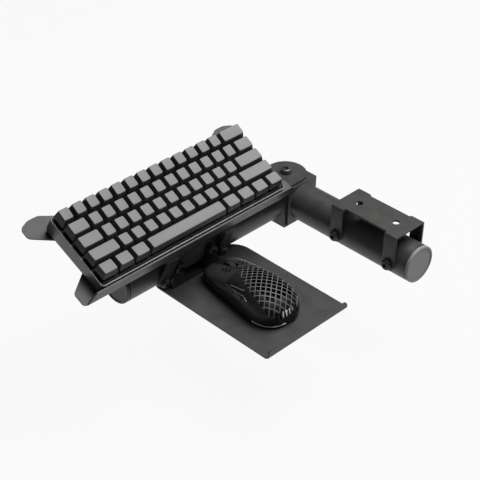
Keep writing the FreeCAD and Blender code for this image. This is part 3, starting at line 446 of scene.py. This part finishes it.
# Mouse base, buttons and wheel
# The base and the board are matt black. The buttons are smoother mouldings, and the two front ones flex at the shell
# while the small ones are pushed in. A rubber wheel turns on a plated axle, and slick pads are stuck under the base.
mouse_matt = finish("mouse matt shell", (0.02, 0.02, 0.02), 0.45, grain=0.0004, depth=0.00002)
mouse_gloss = finish("mouse gloss trim", (0.042, 0.042, 0.043), 0.36, grain=0.0006, depth=0.000005)
for mat in (shell_mat, mouse_matt, mouse_gloss):
    mat.node_tree.nodes["Principled BSDF"].inputs["Specular IOR Level"].default_value = 0.25
dress(["mouse_base", "mouse_circuit_board"], mouse_matt)
dress(["mouse_left_button", "mouse_right_button", "mouse_forward_button", "mouse_back_button",
       "mouse_mode_button"], mouse_gloss)
dress(["mouse_wheel"], rubber_mat)
dress(["mouse_wheel_axle"], zinc)
pad_mat = finish("slick pad", (0.5, 0.5, 0.5), 0.4, grain=0.0006)
dress(["mouse_skates"], pad_mat)

# Mouse trim lines
# Two thin bright plated strips are let into the thumb side, and a clear light guide follows the rear edge of the base.
# Each is a bead whose points, in the mouse's millimetres, are snapped to the surface that carries it.
trim_mat = finish("bright mouse trim", (0.45, 0.45, 0.44), 0.3, metal=0.6, grain=0.0005, depth=0.000005, mottle=0.04)
guide_mat = finish("light guide", (0.75, 0.74, 0.7), 0.3, grain=0.0008, depth=0.000005, mottle=0.03)


def bead(name, node, points, radius, mat):
    curve = bpy.data.curves.new(name, "CURVE")
    curve.dimensions = "3D"
    curve.bevel_depth = radius
    curve.bevel_resolution = 3
    curve.use_fill_caps = True
    line = curve.splines.new("NURBS")
    line.points.add(len(points) - 1)
    for spot, p in zip(line.points, points):
        hit, found, normal, face = nodes[node].closest_point_on_mesh(mouse_frame @ Vector(p))
        spot.co = (*found, 1.0)
    line.order_u = 3
    line.use_endpoint_u = True
    curve.materials.append(mat)
    obj = bpy.data.objects.new(name, curve)
    bpy.context.scene.collection.objects.link(obj)
    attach(obj, "mouse")


bead("mouse_thumb_trim", "mouse_shell", [(5.5, 29, 29.2), (-6, 28.5, 31.8), (-13, 28, 33.5), (-18, 27, 34.7)],
     0.0005, trim_mat)
bead("mouse_side_trim", "mouse_shell", [(0.5, 32, 25), (-12, 32, 27.5), (-21.9, 31, 30.5), (-28, 33, 26)],
     0.00035, trim_mat)
bead("mouse_rear_light", "mouse_base",
     [(-40, 33, 5), (-47, 31, 5), (-54, 27, 4.5), (-61, 20, 4), (-65.5, 11, 4), (-67, 3, 4)], 0.0009, guide_mat)

# Mouse diffuser
# A white translucent strip stands behind the slots at the rear, bowed to follow the shell.
# It is moulded in one piece and clipped inside, and its faint glow is painted light.
diffuser_at, diffuser_size = (-63.2, -4.0, 15.6), (1.0, 18.0, 8.6)
bow, bow_middle = 0.02, 1.0
bm = bmesh.new()
bmesh.ops.create_cube(bm, size=1.0, matrix=Matrix.Translation(diffuser_at) @ Matrix.Diagonal((*diffuser_size, 1.0)))
long_edges = [e for e in bm.edges if abs(e.verts[0].co.y - e.verts[1].co.y) > 1]
bmesh.ops.subdivide_edges(bm, edges=long_edges, cuts=9, use_grid_fill=True)
for v in bm.verts:
    v.co.x += bow * (v.co.y - bow_middle) ** 2
bmesh.ops.transform(bm, matrix=mouse_frame, verts=bm.verts)
painted_glow_mat = finish("diffuser with painted glow", (0.8, 0.8, 0.78), 0.4, grain=0.0008, depth=0.000005, mottle=0.03)
# The emission is painted light; the strip is no lamp.
painted_glow_mat.node_tree.nodes["Principled BSDF"].inputs["Emission Color"].default_value = (1.0, 1.0, 0.97, 1.0)
painted_glow_mat.node_tree.nodes["Principled BSDF"].inputs["Emission Strength"].default_value = 0.35
piece("mouse_diffuser", bm, "mouse", [painted_glow_mat])

# Floor
# A plain pale studio floor lies a hand's breadth under the part and takes its shadow.
# To the camera and in reflections it is nearly white.
floor_half, floor_drop, white_share = 6.0, 0.09, 0.93
bm = bmesh.new()
bmesh.ops.create_grid(bm, x_segments=1, y_segments=1, size=floor_half)
mesh = bpy.data.meshes.new("floor")
bm.to_mesh(mesh)
bm.free()
floor = bpy.data.objects.new("floor", mesh)
floor.location = (0.0, 0.0, cad_low.z - floor_drop)
bpy.context.scene.collection.objects.link(floor)
floor_mat = bpy.data.materials.new("pale floor")
floor_mat.use_nodes = True
tree = floor_mat.node_tree
bsdf = tree.nodes["Principled BSDF"]
bsdf.inputs["Base Color"].default_value = (0.5, 0.5, 0.5, 1.0)
bsdf.inputs["Roughness"].default_value = 0.9
glow = tree.nodes.new("ShaderNodeEmission")
glow.inputs["Color"].default_value = (1.0, 1.0, 1.0, 1.0)
blend = tree.nodes.new("ShaderNodeMixShader")
path = tree.nodes.new("ShaderNodeLightPath")
seen = tree.nodes.new("ShaderNodeMath")
seen.operation = "MAXIMUM"
part_of = tree.nodes.new("ShaderNodeMath")
part_of.operation = "MULTIPLY"
part_of.inputs[1].default_value = white_share
tree.links.new(path.outputs["Is Camera Ray"], seen.inputs[0])
tree.links.new(path.outputs["Is Glossy Ray"], seen.inputs[1])
tree.links.new(seen.outputs[0], part_of.inputs[0])
tree.links.new(part_of.outputs[0], blend.inputs[0])
tree.links.new(bsdf.outputs[0], blend.inputs[1])
tree.links.new(glow.outputs[0], blend.inputs[2])
tree.links.new(blend.outputs[0], tree.nodes["Material Output"].inputs["Surface"])
mesh.materials.append(floor_mat)

# Backdrop
# The air round the floor is a white paper backdrop to the camera.
# It lights the part only dimly, so that the lamp shapes it.
world = bpy.data.worlds.new("studio")
bpy.context.scene.world = world
world.use_nodes = True
tree = world.node_tree
tree.nodes.clear()
out = tree.nodes.new("ShaderNodeOutputWorld")
dim = tree.nodes.new("ShaderNodeBackground")
dim.inputs["Strength"].default_value = 0.12
white = tree.nodes.new("ShaderNodeBackground")
white.inputs["Strength"].default_value = 1.0
mixer = tree.nodes.new("ShaderNodeMixShader")
path = tree.nodes.new("ShaderNodeLightPath")
tree.links.new(path.outputs["Is Camera Ray"], mixer.inputs[0])
tree.links.new(dim.outputs[0], mixer.inputs[1])
tree.links.new(white.outputs[0], mixer.inputs[2])
tree.links.new(mixer.outputs[0], out.inputs["Surface"])

# Lamp
# One wide square soft box hangs high over the far side and to the right.
# It leaves the spaces under the trays dark.
lamp_at = Vector((0.1, 0.35, 1.25))
lamp = bpy.data.lights.new("key box", "AREA")
lamp.shape = "SQUARE"
lamp.size = 1.1
lamp.energy = 19.5
holder = bpy.data.objects.new("key box", lamp)
holder.location = lamp_at
aim = Vector((-0.08, -0.12, -0.04)) - lamp_at
holder.rotation_euler = aim.to_track_quat("-Z", "Y").to_euler()
bpy.context.scene.collection.objects.link(holder)

# Camera
# Its lens, place and turn were worked out from the key positions and the tubes in the photograph.
# The three vectors are its right, down and forward directions.
camera_data = bpy.data.cameras.new("camera")
camera_data.sensor_fit = "HORIZONTAL"
camera_data.sensor_width = 36.0
camera_data.lens = 95.889
camera = bpy.data.objects.new("camera", camera_data)
right = Vector((0.706568, 0.707494, 0.014621))
down = Vector((0.416551, -0.399125, -0.816814))
ahead = Vector((-0.572056, 0.583224, -0.576716))
turn = Matrix((right, -down, -ahead)).transposed().to_4x4()
camera.matrix_world = Matrix.Translation((0.77634, -1.02711, 0.85732)) @ turn
bpy.context.scene.collection.objects.link(camera)
bpy.context.scene.camera = camera
bpy.context.scene.view_settings.view_transform = "Standard"
